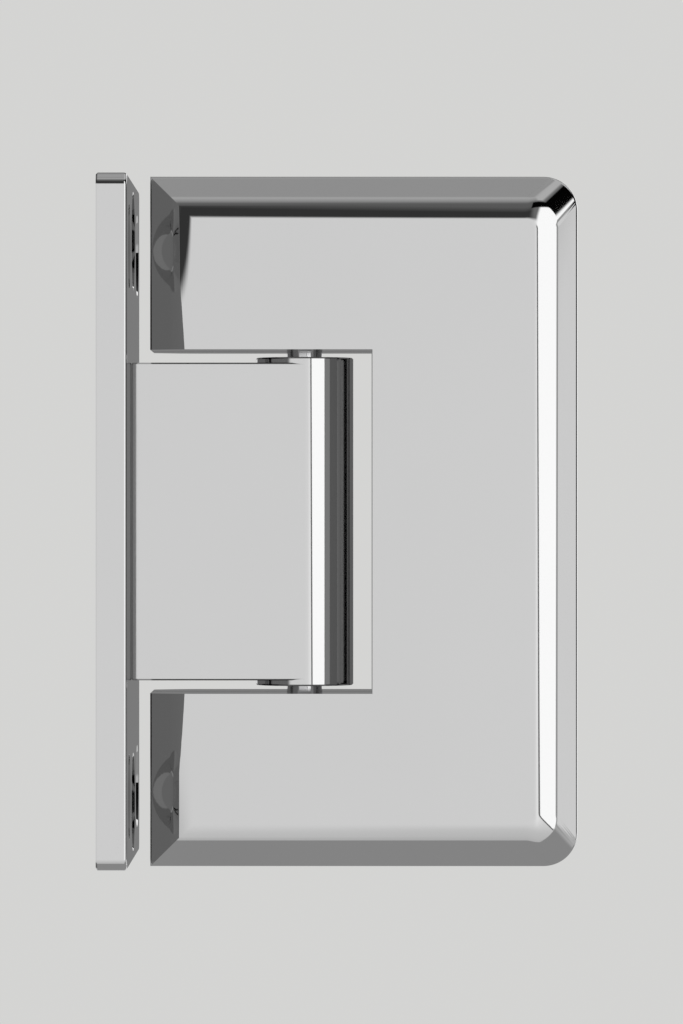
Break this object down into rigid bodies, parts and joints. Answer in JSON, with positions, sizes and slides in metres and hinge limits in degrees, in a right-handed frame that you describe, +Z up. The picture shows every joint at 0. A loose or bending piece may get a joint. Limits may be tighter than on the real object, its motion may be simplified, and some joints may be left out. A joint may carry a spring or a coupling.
{
  "type": "glass door hinge",
  "caption": "Wall-to-glass shower door hinge: flat wall plate, round-nosed knuckle block, and two bevelled cover plates that clamp the glass.",
  "frame": {"origin": "centre of the wall plate's back face, which lies on the wall", "axes": "+X from the wall towards the glass, +Y through the glass from the outer cover plate to the inner one, +Z up along the pin"},
  "size_m": [0.0623, 0.0508, 0.09],
  "materials": {
    "chrome_plate": "polished chrome on cast brass",
    "pin_steel": "turned stainless steel",
    "screw_steel": "bright stainless steel",
    "set_screw_steel": "black oxide steel",
    "spring_steel": "drawn spring steel",
    "bushing_plastic": "natural acetal",
    "bar_plastic": "black acetal",
    "gasket_vinyl": "translucent vinyl sheet"
  },
  "bodies": {
    "wall_side": {"wall_plate": "chrome_plate", "hinge_body": "chrome_plate", "body_screw_upper": "screw_steel", "body_screw_lower": "screw_steel", "bushing_upper": "bushing_plastic", "bushing_lower": "bushing_plastic", "detent_spring_upper": "spring_steel", "detent_spring_lower": "spring_steel"},
    "door_side": {"outer_cover_plate": "chrome_plate", "inner_cover_plate": "chrome_plate", "outer_gasket": "gasket_vinyl", "inner_gasket": "gasket_vinyl", "pivot_pin": "pin_steel", "clamp_screw_upper_wall": "screw_steel", "clamp_screw_upper_glass": "screw_steel", "clamp_screw_lower_wall": "screw_steel", "clamp_screw_lower_glass": "screw_steel", "lock_screw_upper": "set_screw_steel", "lock_screw_lower": "set_screw_steel"},
    "detent": {"detent_bar": "bar_plastic"}
  },
  "joints": [
    {"name": "door_swing", "type": "hinge", "parent": "wall_side", "child": "door_side", "pos_m": [0.0266, 0, 0], "axis": [0, 0, 1], "range_deg": [-90, 90]},
    {"name": "detent_press", "type": "slide", "parent": "wall_side", "child": "detent", "axis": [-1, 0, 0], "range_m": [0, 0.0006], "stiffness_N_per_m": 1000, "springref_m": -0.001, "deforming": ["detent_spring_upper", "detent_spring_lower"]}
  ]
}
